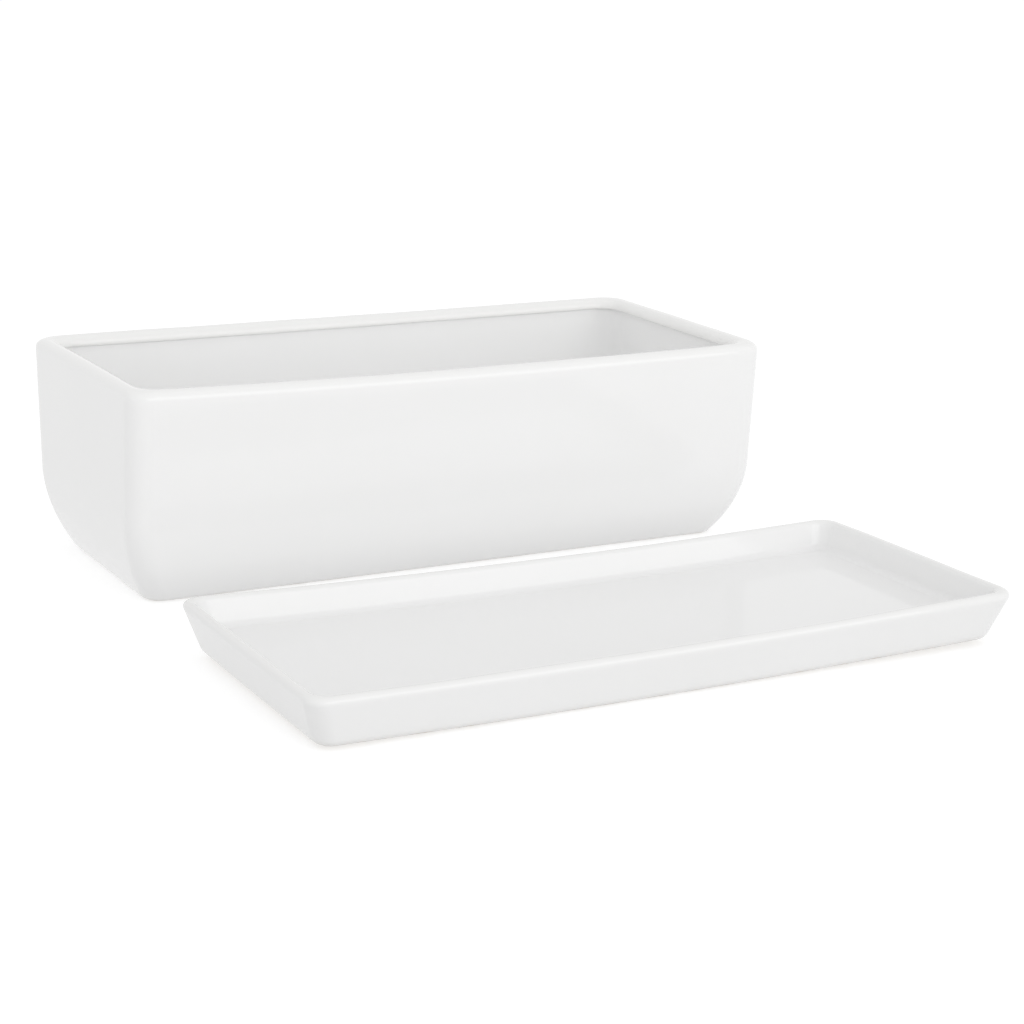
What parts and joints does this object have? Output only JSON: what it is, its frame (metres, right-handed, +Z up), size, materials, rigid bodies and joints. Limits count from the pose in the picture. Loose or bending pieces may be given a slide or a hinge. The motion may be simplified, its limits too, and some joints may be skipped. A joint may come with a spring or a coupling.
{
  "type": "indoor herb planter",
  "caption": "Rectangular glazed ceramic trough for herbs, its walls curving in to a smaller base, with a flared ceramic drip tray that catches the water from its drain holes.",
  "frame": {"origin": "middle of the floor area that the trough and the tray cover together, on the surface they stand on", "axes": "+X along both pieces, +Y from the tray in front to the trough behind it, +Z up"},
  "size_m": [0.3096, 0.3178, 0.094],
  "materials": {
    "trough_glaze": "gloss white glaze",
    "tray_glaze": "gloss white glaze"
  },
  "bodies": {
    "tray": {"drip_tray": "tray_glaze"},
    "trough": {"planter_trough": "trough_glaze"}
  },
  "joints": [
    {"name": "trough_lift", "type": "slide", "parent": "tray", "child": "trough", "axis": [0, 0, 1], "range_m": [0, 0.12]}
  ]
}
